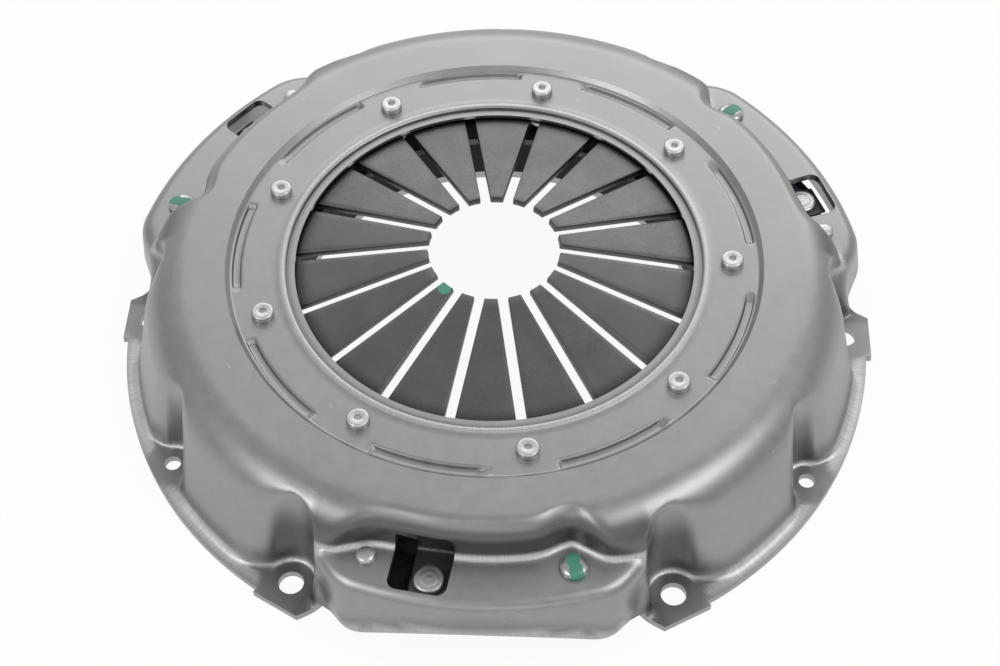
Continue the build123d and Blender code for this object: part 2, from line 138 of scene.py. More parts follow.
# The room is brightest behind the unit, in the direction that its flat steel mirrors to the camera.
world = bpy.data.worlds.new("room")
world.use_nodes = True
tree = world.node_tree
tree.nodes.clear()
toward = add(tree, "ShaderNodeTexCoord")
behind_it = add(tree, "ShaderNodeVectorMath", {"operation": "DOT_PRODUCT"},
                {0: toward.outputs["Generated"], 1: (0.0, 0.96, 0.28)})
glow = add(tree, "ShaderNodeMapRange", {"interpolation_type": "SMOOTHSTEP"},
           {0: behind_it.outputs["Value"], 1: 0.3, 2: 1.0, 3: 0.60, 4: 0.95})
room = add(tree, "ShaderNodeBackground", None, {"Color": srgb("#f2f2f2"), "Strength": glow.outputs[0]})
add(tree, "ShaderNodeOutputWorld", None, {"Surface": room.outputs[0]})
bpy.context.scene.world = world

# Each softbox: its place, its width and height in metres, and its power in watts.
lit_point = Vector((0, 0, 0.02))
softboxes = {"back softbox": ((0.15, 1.35, 1.0), (1.7, 0.7), 6.5),
             "right softbox": ((0.95, -0.35, 1.35), (0.7, 0.7), 7.5),
             "left softbox": ((-0.95, -0.80, 1.10), (0.6, 0.6), 7.0),
             "front softbox": ((0.10, -1.60, 0.75), (1.4, 0.5), 2.5)}
for name, (place, size, watts) in softboxes.items():
    lamp = bpy.data.lights.new(name, "AREA")
    lamp.shape = "RECTANGLE"
    lamp.size, lamp.size_y = size
    lamp.energy = watts
    holder = bpy.data.objects.new(name, lamp)
    holder.location = place
    holder.rotation_euler = (lit_point - Vector(place)).to_track_quat("-Z", "Y").to_euler()
    bpy.context.scene.collection.objects.link(holder)

# Cover pressing
# Deep-drawn from 2.9 mm hot-rolled steel: a bell with a recessed rivet seat, three strap pockets, a flat
# flange with ears, and clearances pressed into its wall over each bolt and dowel hole. The surface is
# worked out as a height over (angle, radius) for a third of the pressing, and then wrapped three times.
POCKETS = (-90, 30, 150)
SHEET, TOP, SEAT, SHELF, POCKET_TOP = 2.9, 47.2, 45.4, 31.5, 47.9
BOLT_R, WALL_FOOT_R, FLANGE_R, LEAN = 134.0, 138.0, 142.2, 14.0
EAR_R, EAR_HALF, HEEL_R, HEEL_DEG = 144.2, 3.7, 133.5, 23.1
OPENING_R, STEP_R, CREST_R, CREST_RISE, LIP_DROP, LIP = 73.8, 77.0, 79.0, 0.5, 0.8, 1.3
SEAT_R, BEAD_R, BEAD_HALF, BEAD_HALF_DEG, BEAD_DEPTH = 97.4, 95.2, 1.8, 12.6, 1.3
LOBE_R, LOBE_END_X, LOBE_END_Y, LOBE_END_DEG, LOBE_ROOM = 139.7, 110.85, 64.0, 36, 0.5
ARCH_HALF, ARCH_MID, ARCH_END = 53.0, 18.0, 5.0
ARCH_RISE = ARCH_MID - ARCH_END
ARCH_R = (ARCH_HALF ** 2 + ARCH_RISE ** 2) / (2 * ARCH_RISE)
# The nine arc beads lie a little off the middles between the rivets; angles from a pocket's middle.
bead_middles = [between - 1.7 for between in (-50, -10, 30, 70)]
# Clearances over the holes: angle from a pocket's middle, radius at the foot, and the radius of the
# corner with the wall, on the panel's side and on the pocket's side.
clearances = [(-30.0, 9.7, 14.0, 3.0), (30.0, 9.7, 14.0, 3.0),
              (-60.0, 7.8, 10.0, 10.0), (60.0, 7.8, 10.0, 10.0)]
# The line on which a shelf meets the wall behind it, as radius and angle from the pocket's middle.
crease = [(165.0, -28.8), (142.6, -27.6), (133.4, -25.6), (129.4, -22.8), (125.2, -20.2), (121.8, -17.4),
          (120.6, -13.0), (120.8, -7.0), (121.0, 0.0), (121.0, 6.0), (120.4, 10.0), (118.4, 13.2),
          (118.3, 15.4), (122.0, 17.4), (127.0, 19.8), (129.6, 22.8), (133.4, 25.6), (142.6, 27.6),
          (165.0, 28.8)]


def step(value, start, end):
    """0 below start, 1 above end, smooth between."""
    t = np.clip((value - start) / (end - start), 0, 1)
    return t * t * (3 - 2 * t)


def fall(value, start, end):
    """1 below start, 0 above end, smooth between."""
    return step(-value, -end, -start)


def band(value, start, full, fade, end):
    """1 between full and fade, 0 below start and above end, smooth between."""
    return step(value, start, full) * fall(value, fade, end)


def set_back(z, top, low, edge_r, foot_r, draft_deg):
    """How far a drawn wall lies inside its foot line at a height, with its edge and foot rounded."""
    lean, tilt = math.tan(math.radians(draft_deg)), math.sin(math.radians(draft_deg))
    half = math.tan(math.radians(45 - draft_deg / 2))
    back = (z - low) * lean
    over = z - top + edge_r
    arc = (top - low) * lean + edge_r * half - np.sqrt(np.maximum(edge_r ** 2 - over ** 2, 0))
    back = np.where(over > edge_r * tilt, arc, back)
    under = low + foot_r - z
    arc = np.sqrt(np.maximum(foot_r ** 2 - under ** 2, 0)) - foot_r * half
    return np.where(under > foot_r * tilt, arc, back)


def rounded(a, b, corner, cosine):
    """Distance inside two walls at once, their corner rounded; cosine is that of their normals' angle."""
    u, v = corner - a, corner - b
    gone = np.sqrt(np.maximum((u * u + v * v - 2 * u * v * cosine) / (1 - cosine * cosine), 0))
    in_corner = (u > v * cosine) & (v > u * cosine) & (np.maximum(u, v) > 0)
    return np.where(in_corner, corner - gone, np.minimum(a, b))


def smooth_line(points, per_span):
    """Points of a smooth curve through the given points."""
    p = np.array([2 * points[0] - points[1], *points, 2 * points[-1] - points[-2]])
    t = np.linspace(0, 1, per_span, endpoint=False)[:, None]
    spans = [0.5 * (2 * b + (c - a) * t + (2 * a - 5 * b + 4 * c - d) * t ** 2
                    + (3 * b - a - 3 * c + d) * t ** 3) for a, b, c, d in zip(p, p[1:], p[2:], p[3:])]
    return np.vstack(spans + [p[-2:-1]])


def crease_distance(angle, radius):
    """Distance from the foot of the wall behind a shelf, positive towards the clutch axis."""
    polar = [(r, math.radians(a)) for r, a in crease]
    line = smooth_line(np.array([(r * math.cos(a), r * math.sin(a)) for r, a in polar]), 16)
    x, y = radius * np.cos(angle), radius * np.sin(angle)
    nearest = np.full(x.shape, 1e9)
    for a, b in zip(line, line[1:]):
        d = b - a
        t = np.clip(((x - a[0]) * d[0] + (y - a[1]) * d[1]) / (d @ d), 0, 1)
        nearest = np.minimum(nearest, np.hypot(x - a[0] - t * d[0], y - a[1] - t * d[1]))
    line_angle, line_r = np.arctan2(line[:, 1], line[:, 0]), np.hypot(line[:, 0], line[:, 1])
    edge = np.interp(angle + 0 * radius, line_angle, line_r)
    return np.where(radius < edge, nearest, -nearest)


def wall_height(angle, radius):
    """Height of the cover's outer surface outside its seat; a pocket's middle is at angle 0."""
    x, y = radius * np.cos(angle), radius * np.sin(angle)
    coarse = np.arange(100.0, 151.0, 0.3)[None, :]
    behind = np.array([np.interp(radius[0], coarse[0], row) for row in crease_distance(angle, coarse)])
    slope = math.radians(LOBE_END_DEG)
    front = LOBE_R + (SHELF - SHEET) * math.tan(math.radians(LEAN)) - radius
    side = (LOBE_END_X - x) * math.sin(slope) + (LOBE_END_Y - np.abs(y)) * math.cos(slope) + LOBE_ROOM
    on_panel = step(np.abs(np.degrees(angle)), 29.0, 32.0)
    nearby = []
    for at, foot, panel_corner, pocket_corner in clearances:
        off = angle - math.radians(at)
        out = radius * np.cos(off) - BOLT_R
        away = np.hypot(out, radius * np.sin(off))
        corner = pocket_corner + (panel_corner - pocket_corner) * on_panel
        nearby.append((away - foot, corner, np.clip(-out / np.maximum(away, 0.1), -0.6, 0.85)))
    # The surface is the highest level at which a place still lies inside every wall.
    low, high = np.full(x.shape, SHEET), np.full(x.shape, TOP)
    for _ in range(15):
        z = (low + high) / 2
        bell = WALL_FOOT_R - radius - set_back(z, TOP, SHEET, edge_r=17.0, foot_r=3.6, draft_deg=LEAN)
        lobe = rounded(front - set_back(z, SHELF, SHEET, edge_r=5.0, foot_r=3.0, draft_deg=LEAN),
                       side - set_back(z, SHELF, SHEET, edge_r=5.0, foot_r=3.0, draft_deg=1.0),
                       corner=24.0, cosine=0.84)
        notch = behind - set_back(z, POCKET_TOP, SHELF, edge_r=9.0, foot_r=2.4, draft_deg=2.0)
        body = np.where(z > SHELF, rounded(bell, notch, corner=4.0, cosine=0.4),
                        -rounded(-bell, -lobe, corner=3.0, cosine=0.6))
        for gap, corner, cosine in nearby:
            clear = gap - set_back(z, 70.0, SHEET, edge_r=1.0, foot_r=1.3, draft_deg=1.5)
            body = rounded(body, clear, corner, cosine)
        low, high = np.where(body >= 0, z, low), np.where(body >= 0, high, z)
    return (low + high) / 2


def seat_height(angle, radius):
    """Height of the recessed seat with its arc beads, and of the coined rim round the opening."""
    height = SEAT + (TOP - SEAT) * np.clip((radius - SEAT_R) / (TOP - SEAT), 0, 1) + 0 * angle
    groove = 0.0
    for middle in bead_middles:
        ends = (math.radians(BEAD_HALF_DEG) - np.abs(angle - math.radians(middle))) * BEAD_R
        sides = BEAD_HALF - np.abs(radius - BEAD_R)
        groove = np.maximum(groove, np.minimum(step(ends, 0.0, 1.6), step(sides, 0.0, 0.75)))
    crest = CREST_RISE * band(radius, STEP_R, STEP_R + 0.7, CREST_R - 0.2, CREST_R + 1.2)
    return np.where(radius < STEP_R, SEAT - LIP_DROP, height - BEAD_DEPTH * groove + crest)


def arch_height(sideways):
    """Height of the arched lower edge of a shelf's wall, by the distance from the pocket's middle."""
    return ARCH_MID - ARCH_R + np.sqrt(ARCH_R ** 2 - np.minimum(np.abs(sideways), ARCH_HALF) ** 2)


# Columns lie closer where the form changes quickly; busy gives those places and their reach in degrees.
COLUMNS, WALL_ROWS, WALL_OUT = 170, 60, 149.0
trial = np.linspace(-60, 60, 2401)
busy = ((-24, 4), (-34, 5), (24, 4), (34, 5), (-18, 3), (14, 3.5), (19, 2.5), (-56, 5), (56, 5))
crowd = 1.0 + sum(2.2 * np.exp(-((trial - middle) / reach) ** 2) for middle, reach in busy)
filled = np.concatenate([[0], np.cumsum((crowd[1:] + crowd[:-1]) / 2)])
columns = np.interp(np.linspace(0, filled[-1], COLUMNS, endpoint=False), filled, trial)
turn_by = np.radians(columns)[:, None]
# Rows of the seat: its rim, its flat, across the beads, and up the step to the deck.
bead_sides = np.array([0.95, 1.15, 1.4, 1.65, 1.82])
seat_rows = np.concatenate([
    [OPENING_R, 75.0, 76.3, 76.9, 77.02, 77.3, 77.7, 78.2, 78.9, 79.5, 80.3, 82.5, 86.0, 90.0, 92.4],
    BEAD_R - bead_sides[::-1], [BEAD_R], BEAD_R + bead_sides, [97.45, 97.8, 98.5, 99.2, 99.6, 101.0]])
fine = np.arange(seat_rows[-1], WALL_OUT, 0.05)
outer_z = wall_height(turn_by, fine[None, :])


def column_rows(z):
    """Lengths down a column, and the shares of the whole at which its rows lie, closer where it bends."""
    run = np.concatenate([[0], np.cumsum(np.hypot(np.diff(fine), np.diff(z)))])
    even = np.linspace(0, run[-1], 480)
    even_r, even_z = np.interp(even, run, fine), np.interp(even, run, z)
    heading = np.unwrap(np.arctan2(np.gradient(even_z), np.gradient(even_r)))
    bend = np.minimum(np.abs(np.gradient(heading)) / np.gradient(even), 0.9)
    spread = np.exp(-np.linspace(-2.2, 2.2, 19) ** 2)
    need = np.concatenate([[0], np.cumsum(0.05 + np.convolve(bend, spread / spread.sum(), "same")[1:])])
    return run, np.interp(np.linspace(0, need[-1], WALL_ROWS + 1)[1:], need, even) / run[-1]


runs, places = (np.array(both) for both in zip(*[column_rows(z) for z in outer_z]))
for _ in range(4):
    places = (np.roll(places, 1, 0) + 2 * places + np.roll(places, -1, 0)) / 4
wall_run = places * runs[:, -1:]
wall_r = np.array([np.interp(at, run, fine) for at, run in zip(wall_run, runs)])
wall_z = np.array([np.interp(at, run, z) for at, run, z in zip(wall_run, runs, outer_z)])
seat_r = np.repeat(seat_rows[None, :], COLUMNS, 0)
third_r = np.hstack([seat_r, wall_r])
third_z = np.hstack([seat_height(turn_by, seat_rows[None, :]), wall_z])
third_run = np.hstack([seat_r - OPENING_R, wall_run + seat_rows[-1] - OPENING_R])
around = np.radians(np.concatenate([columns + pocket for pocket in POCKETS]))[:, None]
grid_r, grid_z, grid_run = (np.vstack([a] * 3) for a in (third_r, third_z, third_run))
outside = np.stack([grid_r * np.cos(around), grid_r * np.sin(around), grid_z], axis=-1)

# The underside lies straight below the seat and the deck, and square to the surface on the wall.
along = np.gradient(outside, axis=1)
beside = np.roll(outside, -1, 0) - np.roll(outside, 1, 0)
facing = np.cross(along, beside)
facing /= np.maximum(np.linalg.norm(facing, axis=-1, keepdims=True), 1e-9)
facing = (0, 0, 1) + (facing - (0, 0, 1)) * step(grid_r, 99.0, 104.0)[..., None]
thickness = np.where(grid_r < STEP_R + 0.1, LIP, SHEET)[..., None]
inside = outside - facing * thickness
n_col, n_row = grid_r.shape
here, there = np.arange(n_col) * n_row, np.roll(np.arange(n_col), -1) * n_row
end, deep = n_row - 1, n_col * n_row
first, after = (edge[:, None] + np.arange(end)[None, :] for edge in (here, there))
shell_out = np.stack([first, first + 1, after + 1, after], axis=-1).reshape(-1, 4)
shell_in = shell_out[:, ::-1] + deep
bore_rim = np.stack([here, there, there + deep, here + deep], axis=-1)
outer_rim = np.stack([here + end, here + end + deep, there + end + deep, there + end], axis=-1)
cover = mesh_object("cover_pressing", np.vstack([outside.reshape(-1, 3), inside.reshape(-1, 3)]),
                    np.vstack([shell_out, shell_in, bore_rim, outer_rim]))

# Painted highlights and painted shade, and a slightly darker flange, from 0 to 1, by place on the pressing.
from_pocket = np.abs(((np.degrees(around) + 90 + 60) % 120) - 60) + 0 * grid_r


def hole_distances(hole_deg):
    """How far a place lies outside a hole's middle along the radius, and how far from it in all."""
    off = np.radians(from_pocket - hole_deg)
    out = grid_r * np.cos(off) - BOLT_R
    return out, np.hypot(out, grid_r * np.sin(off))


bolt_out, bolt_gap = hole_distances(30)
dowel_out, dowel_gap = hole_distances(60)
panel = step(from_pocket, 31.0, 34.0) * step(bolt_gap, 10.5, 12.5) * step(dowel_gap, 9.0, 11.0)
behind = np.vstack([crease_distance(turn_by, third_r)] * 3)
in_pocket = fall(from_pocket, 26.5, 27.5) * step(grid_z, 29.0, 30.0)
lobe_wall = fall(from_pocket, 22.0, 24.0) * step(grid_r, 139.0, 141.0)
above_arch = grid_z - arch_height(grid_r * np.sin(np.radians(from_pocket)))
# Painted highlights: on the foot of the wall and the flat beyond it, over the die's real rubbing there, on
# crescents inside the holes, the rim's crest, the strip where a shelf meets the wall behind it, and the edge
# over an arch.
foot_line = 0.9 * panel * fall(grid_z, 4.8, 7.0) * step(grid_r, 136.6, 138.0)
foot_line = foot_line * (1 - 0.5 * step(grid_r, 141.3, 141.7))
crescent = np.maximum(band(bolt_gap, 8.2, 8.7, 9.7, 10.3) * fall(bolt_out, -2.5, 0.0),
                      band(dowel_gap, 6.4, 6.9, 7.8, 8.4) * fall(dowel_out, -2.5, 0.0))
crescent = crescent * fall(grid_z, 4.2, 5.0)
# Painted shade in the corner beside a pocket's lobe, where no highlight goes either.
heel = band(from_pocket, 20.5, 22.5, 27.0, 28.0) * fall(grid_z, 6.0, 12.0)
rim_crest = band(grid_r, 77.3, 77.9, 79.2, 80.2)
shelf_strip = in_pocket * step(behind, -2.6, -1.4) * fall(grid_z, 32.6, 34.0)
highlights_and_rub = np.maximum.reduce([foot_line, crescent * (1 - heel), 0.55 * rim_crest, 0.7 * shelf_strip,
                            0.4 * lobe_wall * fall(above_arch, 2.2, 3.4)])
# Darker: the flange a little, and painted shade on the wall just above its foot line, low in the channels
# over the holes, on the wall behind a shelf, on the band above an arch, on the heels beside a pocket, and on
# the rim's lip.
flange = fall(grid_z, 2.95, 3.3) * step(grid_r, 120.0, 122.0) * (1 - foot_line) * (1 - crescent)
over_foot = panel * band(grid_z, 5.5, 7.0, 8.0, 14.0) * step(grid_r, 120.0, 124.0)
channel = np.maximum(fall(bolt_gap, 9.8, 12.5), fall(dowel_gap, 7.9, 9.5))
channel = channel * band(grid_z, 3.6, 7.0, 24.0, 40.0)
pocket_back = in_pocket * step(behind, -1.2, 0.0) * step(grid_r, 100.0, 102.0)
pocket_back = pocket_back * band(grid_z, 32.6, 34.2, 43.0, 46.9)
rim_lip = band(grid_r, 75.6, 76.4, 77.0, 77.2)
shade_and_dull = np.maximum.reduce([0.28 * flange, 0.4 * over_foot, 0.8 * channel, 0.85 * pocket_back,
                          0.4 * lobe_wall * band(above_arch, 2.2, 3.6, 4.5, 9.0), 0.6 * heel, 0.55 * rim_lip])


def corner_values(field, lap=0.0):
    """A grid's values at each face corner, in the faces' order; a value that wraps round goes up by lap."""
    flat_field = field.reshape(-1)
    values = flat_field[np.vstack([shell_out, shell_out[:, ::-1]])]
    wraps = np.abs(values - values[:, :1]) > lap / 2 if lap else np.zeros(values.shape, bool)
    values = np.where(wraps & (values < values.max(axis=1, keepdims=True) - 1), values + lap, values)
    rims = [np.stack([flat_field[at + k] for at in (here, there, there, here)], -1) for k in (0, end)]
    return np.vstack([values] + rims).reshape(-1)


# Two maps: millimetres round the wall and down it, the way the steel was drawn, and the painted highlights
# and shade.
DRAWN_R = 130.0
drawn_round = corner_values(around * DRAWN_R + 0 * grid_r, 2 * math.pi * DRAWN_R)
for name, pair in (("drawn", (drawn_round, corner_values(grid_run))),
                   ("wear", (corner_values(highlights_and_rub), corner_values(shade_and_dull)))):
    layer = cover.data.uv_layers.new(name=name)
    layer.data.foreach_set("uv", np.stack(pair, -1).astype(np.float32).reshape(-1))


# Trimming and piercing tools: one ring trims the flange to its ears and frees the shelves' walls, three
# arches shape those walls' lower edges, and punches open the windows and holes.
BOLT_HOLE_R, DOWEL_HOLE_R, PUNCH_LOW, PUNCH_HIGH = 4.5, 3.0, -3.0, 9.0
FREE_R, TRIM_OUT, TRIM_LOW, ARCH_IN, ARCH_OUT, ARCH_LOW = 120.0, 156.0, -2.0, 112.0, 158.0, 3.0
WINDOW_R, WINDOW_DEG, WINDOW_LOW, WINDOW_TOP, WINDOW_CORNER = 124.3, -8.8, 23.0, 40.5, 3.5
WINDOW_LONG, WINDOW_WIDE = 12.3, 10.25


def at_polar(radius, degrees):
    """Point at a radius and an angle round the clutch axis."""
    return radius * math.cos(math.radians(degrees)), radius * math.sin(math.radians(degrees))


def ring_outline(radius, steps):
    """Circle as a closed outline."""
    return [at_polar(radius, 360 * k / steps) for k in range(steps)]


def lofted(loops):
    """Points and faces of a body through outlines with equal counts, from the lowest to the highest."""
    n = len(loops[0])
    faces = [tuple(range(n))[::-1], tuple(range(n * (len(loops) - 1), n * len(loops)))]
    faces += [(j * n + k, j * n + (k + 1) % n, (j + 1) * n + (k + 1) % n, (j + 1) * n + k)
              for j in range(len(loops) - 1) for k in range(n)]
    return [point for loop in loops for point in loop], faces


def turned_point(x, y, z, degrees):
    """Point turned round the clutch axis."""
    c, s = math.cos(math.radians(degrees)), math.sin(math.radians(degrees))
    return x * c - y * s, x * s + y * c, z


def prism(outline, low, high, at=(0, 0), degrees=0.0, top_r=0.0):
    """Upright prism on an outline, moved to a place and turned, its two radial top edges rounded."""
    half = max(y for x, y in outline)
    levels = [(low, 0.0)] + [(high - top_r + top_r * math.sin(a), top_r * (1 - math.cos(a)))
                             for a in (np.linspace(0, math.pi / 2, 7) if top_r else [0.0])]
    loops = []
    for level, less in levels:
        placed = [turned_point(x, y * (1 - less / half), level, degrees) for x, y in outline]
        loops.append([(at[0] + x, at[1] + y, z) for x, y, z in placed])
    return lofted(loops)


def tool(name, bodies):
    """One mesh object of several separate bodies."""
    points, faces = [], []
    for body_points, body_faces in bodies:
        faces += [tuple(k + len(points) for k in f) for f in body_faces]
        points += body_points
    return mesh_object(name, points, faces, smooth=False)


trim = []
for pocket in POCKETS:
    trim += [at_polar(FREE_R, pocket + a) for a in np.linspace(-HEEL_DEG + 0.1, HEEL_DEG - 0.1, 13)]
    trim += [at_polar(HEEL_R, pocket + HEEL_DEG), at_polar(EAR_R, pocket + 30 - EAR_HALF),
             at_polar(EAR_R, pocket + 30 + EAR_HALF)]
    trim += [at_polar(FLANGE_R, pocket + a) for a in np.linspace(30 + EAR_HALF, 90 - EAR_HALF, 91)]
    trim += [at_polar(EAR_R, pocket + 90 - EAR_HALF), at_polar(EAR_R, pocket + 90 + EAR_HALF),
             at_polar(HEEL_R, pocket + 120 - HEEL_DEG)]
count = len(trim)
rim = [at_polar(TRIM_OUT, math.degrees(math.atan2(y, x))) for x, y in trim]
loops = [(trim, TRIM_LOW), (rim, TRIM_LOW), (rim, ARCH_END), (trim, ARCH_END)]
trim_points = [(x, y, z) for loop, z in loops for x, y in loop]
trim_faces = [(a * count + k, b * count + k, b * count + (k + 1) % count, a * count + (k + 1) % count)
              for a, b in ((1, 0), (2, 1), (3, 2), (0, 3)) for k in range(count)]
section = [(y, arch_height(y)) for y in np.linspace(-ARCH_HALF, ARCH_HALF, 49)]
section += [(ARCH_HALF, ARCH_LOW), (-ARCH_HALF, ARCH_LOW)]
arches = [lofted([[turned_point(x, y, z, pocket) for y, z in section] for x in (ARCH_OUT, ARCH_IN)])
          for pocket in POCKETS]
corner_x, corner_y = WINDOW_LONG - WINDOW_CORNER, WINDOW_WIDE - WINDOW_CORNER
window = []
for k, (sx, sy) in enumerate(((1, 1), (-1, 1), (-1, -1), (1, -1))):
    bend = [at_polar(WINDOW_CORNER, 90 * k + 15 * j) for j in range(7)]
    window += [(sx * corner_x + x, sy * corner_y + y) for x, y in bend]
punches = [prism(ring_outline(BOLT_HOLE_R, 40), PUNCH_LOW, PUNCH_HIGH, at_polar(BOLT_R, 60 * k))
           for k in range(6)]
punches += [prism(ring_outline(DOWEL_HOLE_R, 32), PUNCH_LOW, PUNCH_HIGH, at_polar(BOLT_R, 120 * k - 30))
            for k in range(3)]
punches += [prism(window, WINDOW_LOW, WINDOW_TOP, at_polar(WINDOW_R, a), a, WINDOW_CORNER)
            for a in (pocket + WINDOW_DEG for pocket in POCKETS)]
tools = [tool("trimming_ring", [(trim_points, trim_faces)]), tool("arches", arches), tool("punches", punches)]


def cut_with(piece, cutter):
    """Adds a modifier that takes a tool's shape out of a piece."""
    cut = piece.modifiers.new(cutter.name, "BOOLEAN")
    cut.operation, cut.solver, cut.object = "DIFFERENCE", "MANIFOLD", cutter


def finished(piece):
    """Replaces a piece's mesh by the result of its modifiers, and removes them."""
    done = bpy.data.meshes.new_from_object(piece.evaluated_get(bpy.context.evaluated_depsgraph_get()))
    piece.modifiers.clear()
    piece.data = done


for cutter in tools:
    cut_with(cover, cutter)
finished(cover)
for cutter in tools:
    bpy.data.objects.remove(cutter)
cover.data.set_sharp_from_angle(angle=math.radians(42))


def in_millimetres(tree):
    """Object coordinates in millimetres."""
    place = add(tree, "ShaderNodeTexCoord")
    scaled = add(tree, "ShaderNodeMapping", None,
                 {"Vector": place.outputs["Object"], "Scale": (1 / MM,) * 3})
    return scaled.outputs[0]


# Hot-rolled steel, pressed and lightly oiled: satin grey with soft broad highlights and faint mottling from
# the rolling scale; painted highlights with fine bright lines, on the foot over the die's rubbing and on
# other edges, and painted shade.
pressed_steel, tree = material("pressed hot-rolled steel")
mm = in_millimetres(tree)
drawn = add(tree, "ShaderNodeUVMap", {"uv_map": "drawn"})
wear = add(tree, "ShaderNodeUVMap", {"uv_map": "wear"})
light_and_wear_xy = add(tree, "ShaderNodeSeparateXYZ", None, {0: wear.outputs[0]})
cloud = add(tree, "ShaderNodeTexNoise", None, {"Vector": mm, "Scale": 1 / 32, "Detail": 3.0})
mottle = add(tree, "ShaderNodeTexNoise", None,
             {"Vector": mm, "Scale": 1 / 4.5, "Detail": 5.0, "Roughness": 0.6})
grain = add(tree, "ShaderNodeTexNoise", None, {"Vector": mm, "Scale": 1 / 0.9, "Detail": 2.0})
stretch = add(tree, "ShaderNodeMapping", None, {"Vector": drawn.outputs[0], "Scale": (1.7, 0.05, 1)})
lines = add(tree, "ShaderNodeTexNoise", {"noise_dimensions": "2D"},
            {"Vector": stretch.outputs[0], "Scale": 1.0, "Detail": 3.0, "Roughness": 0.7})
tone = add(tree, "ShaderNodeMix", {"data_type": "RGBA"},
           {0: cloud.outputs[0], "A": srgb("#959594"), "B": srgb("#9f9f9e")})
fleck = add(tree, "ShaderNodeMapRange", None, {0: mottle.outputs[0], 1: 0.38, 2: 0.66, 3: 0.96, 4: 1.03})
tone = add(tree, "ShaderNodeVectorMath", {"operation": "SCALE"},
           {0: tone.outputs["Result"], "Scale": fleck.outputs[0]})
lined = add(tree, "ShaderNodeMapRange", None, {0: lines.outputs[0], 1: 0.36, 2: 0.64, 3: 0.84, 4: 1.06})
bright = add(tree, "ShaderNodeVectorMath", {"operation": "SCALE"},
             {0: srgb("#d2d2d1")[:3], "Scale": lined.outputs[0]})
# Painted highlights: the bright, finely lined colour where the first mark map is high.
tone = add(tree, "ShaderNodeMix", {"data_type": "RGBA"},
           {0: light_and_wear_xy.outputs[0], "A": tone.outputs[0], "B": bright.outputs[0]})
# Painted shade: the dark colour where the second mark map is high, the flange taking a little of it.
shade = add(tree, "ShaderNodeVectorMath", {"operation": "SCALE"},
            {0: srgb("#646464")[:3], "Scale": fleck.outputs[0]})
tone = add(tree, "ShaderNodeMix", {"data_type": "RGBA"},
           {0: light_and_wear_xy.outputs[1], "A": tone.outputs["Result"], "B": shade.outputs[0]})
across_mm = add(tree, "ShaderNodeMapping", None,
                {"Vector": drawn.outputs[0], "Rotation": (0, 0, 0.6), "Scale": (1 / 14, 1 / 2.2, 1)})
nicks = add(tree, "ShaderNodeTexNoise", {"noise_dimensions": "2D"},
            {"Vector": across_mm.outputs[0], "Scale": 1.0, "Detail": 4.0, "Roughness": 0.75})
nicks = add(tree, "ShaderNodeMapRange", None, {0: nicks.outputs[0], 1: 0.71, 2: 0.76, 3: 0.0, 4: 0.5})
tone = add(tree, "ShaderNodeMix", {"data_type": "RGBA"},
           {0: nicks.outputs[0], "A": tone.outputs["Result"], "B": srgb("#cbcbca")})
rough = add(tree, "ShaderNodeMapRange", None, {0: mottle.outputs[0], 1: 0.3, 2: 0.7, 3: 0.38, 4: 0.44})
rough = add(tree, "ShaderNodeMath", {"operation": "MULTIPLY_ADD"},
            {0: light_and_wear_xy.outputs[0], 1: 0.12, 2: rough.outputs[0]})
peaks = add(tree, "ShaderNodeMath", {"operation": "MULTIPLY"}, {0: lines.outputs[0], 1: light_and_wear_xy.outputs[0]})
peaks = add(tree, "ShaderNodeMath", {"operation": "MULTIPLY"}, {0: peaks.outputs[0], 1: 0.3})
relief = add(tree, "ShaderNodeMath", {"operation": "MULTIPLY_ADD"},
             {0: grain.outputs[0], 1: 0.5, 2: mottle.outputs[0]})
relief = add(tree, "ShaderNodeMath", {"operation": "ADD"}, {0: relief.outputs[0], 1: peaks.outputs[0]})
bump = add(tree, "ShaderNodeBump", None, {"Strength": 0.16, "Distance": 0.0001, "Height": relief.outputs[0]})
skin = add(tree, "ShaderNodeBsdfPrincipled", None,
           {"Base Color": tone.outputs["Result"], "Metallic": 1.0, "Roughness": rough.outputs[0],
            "Normal": bump.outputs[0]})
add(tree, "ShaderNodeOutputMaterial", None, {"Surface": skin.outputs[0]})
cover.data.materials.clear()
cover.data.materials.append(pressed_steel)
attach(cover, "cover_assembly")
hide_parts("cover")

# Diaphragm spring
# One coned disc of hardened spring steel, slit into 18 release fingers with a window at each slit's root.
# It is a sheet whose thickness is added last.
FINGERS, PITCH_DEG, TIP_R, DISC_R, GAUGE, BROKEN_EDGE = 18, 20, 24.3, 110.5, 2.8, 0.3
PIVOT_R, PIVOT_Z, CONE = 91.8, 38.015, math.radians(10)
SLIT_HALF, ROOT_HALF, ROOT_IN, ROOT_OUT, ROOT_CORNER = 1.9, 3.7, 82.5, 90.6, 2.5


def slit_half_width(radius):
    """Half the gap between two fingers at a radius."""
    if radius <= ROOT_IN:
        return SLIT_HALF
    into = min(radius - ROOT_IN, ROOT_OUT - radius)
    if into >= ROOT_CORNER:
        return ROOT_HALF
    corner = ROOT_HALF - ROOT_CORNER + math.sqrt(max(ROOT_CORNER ** 2 - (ROOT_CORNER - into) ** 2, 0))
    return max(corner, SLIT_HALF if radius < ROOT_IN + 1.0 else 0.0)


def grid_faces(rows, columns, base=0):
    """Four-sided faces between the points of a grid that lie in rows, from a first point on."""
    return [(base + j * columns + k, base + (j + 1) * columns + k, base + (j + 1) * columns + k + 1,
             base + j * columns + k + 1) for j in range(rows - 1) for k in range(columns - 1)]


